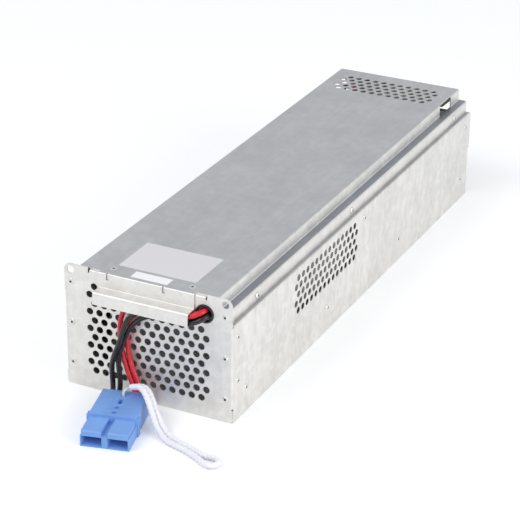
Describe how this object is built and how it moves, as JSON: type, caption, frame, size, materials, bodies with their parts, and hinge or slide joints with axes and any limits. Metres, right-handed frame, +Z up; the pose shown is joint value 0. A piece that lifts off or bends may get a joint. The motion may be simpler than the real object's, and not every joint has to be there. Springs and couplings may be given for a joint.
{
  "type": "ups battery cartridge",
  "caption": "Long folded-steel battery cartridge for a rack UPS, with a punched front, finger grip, row of sealed batteries, power plug on leads and pull lanyard.",
  "frame": {"origin": "under the middle of the metal case, on the surface it stands on; the leads, the plug and the lanyard are not counted", "axes": "+Z up, -Y the way the punched front plate and its finger grip face, +Y towards the rear, X across"},
  "size_m": [0.2016, 0.6932, 0.1265],
  "materials": {
    "steel": "galvanised sheet with faint spangle and rolling grain",
    "cover_steel": "galvanised sheet, slightly darker on the lid",
    "fastener": "zinc plated",
    "rubber": "moulded, matt",
    "foam": "closed-cell foam",
    "battery_case": "fine moulded texture",
    "terminal": "tinned",
    "link_jacket": "insulated link",
    "red_lead": "smooth insulation",
    "black_lead": "smooth insulation",
    "plug_plastic": "moulded, satin",
    "contact": "silver plated",
    "lanyard_cord": "braided, white",
    "label_stock": "pale adhesive label, blank",
    "label_white": "white adhesive label, blank"
  },
  "bodies": {
    "root": {"chassis_wrap": "steel", "top_cover": "cover_steel", "bottom_pan": "steel", "rear_panel": "steel", "corner_angle_right": "steel", "corner_angle_left": "steel", "mid_brace": "steel", "battery_stop": "steel", "lead_gland": "rubber", "plate_rivets": "fastener", "wall_rivets": "fastener", "skirt_screws": "fastener", "top_screws": "fastener", "foam_base": "foam", "foam_strip_left": "foam", "foam_strip_right": "foam", "terminal_tabs": "terminal", "jumper_links": "link_jacket", "lead_red_1": "red_lead", "lead_red_2": "red_lead", "lead_black_1": "black_lead", "lead_black_2": "black_lead", "inner_lead_red": "red_lead", "inner_lead_black": "black_lead", "plug_housing": "plug_plastic", "plug_contacts": "contact", "lanyard": "lanyard_cord", "lanyard_tie": "lanyard_cord", "large_label": "label_stock", "small_label": "label_white", "battery_1": "battery_case", "battery_2": "battery_case", "battery_3": "battery_case", "battery_4": "battery_case", "battery_5": "battery_case", "battery_6": "battery_case", "battery_7": "battery_case", "battery_8": "battery_case"}
  },
  "joints": []
}
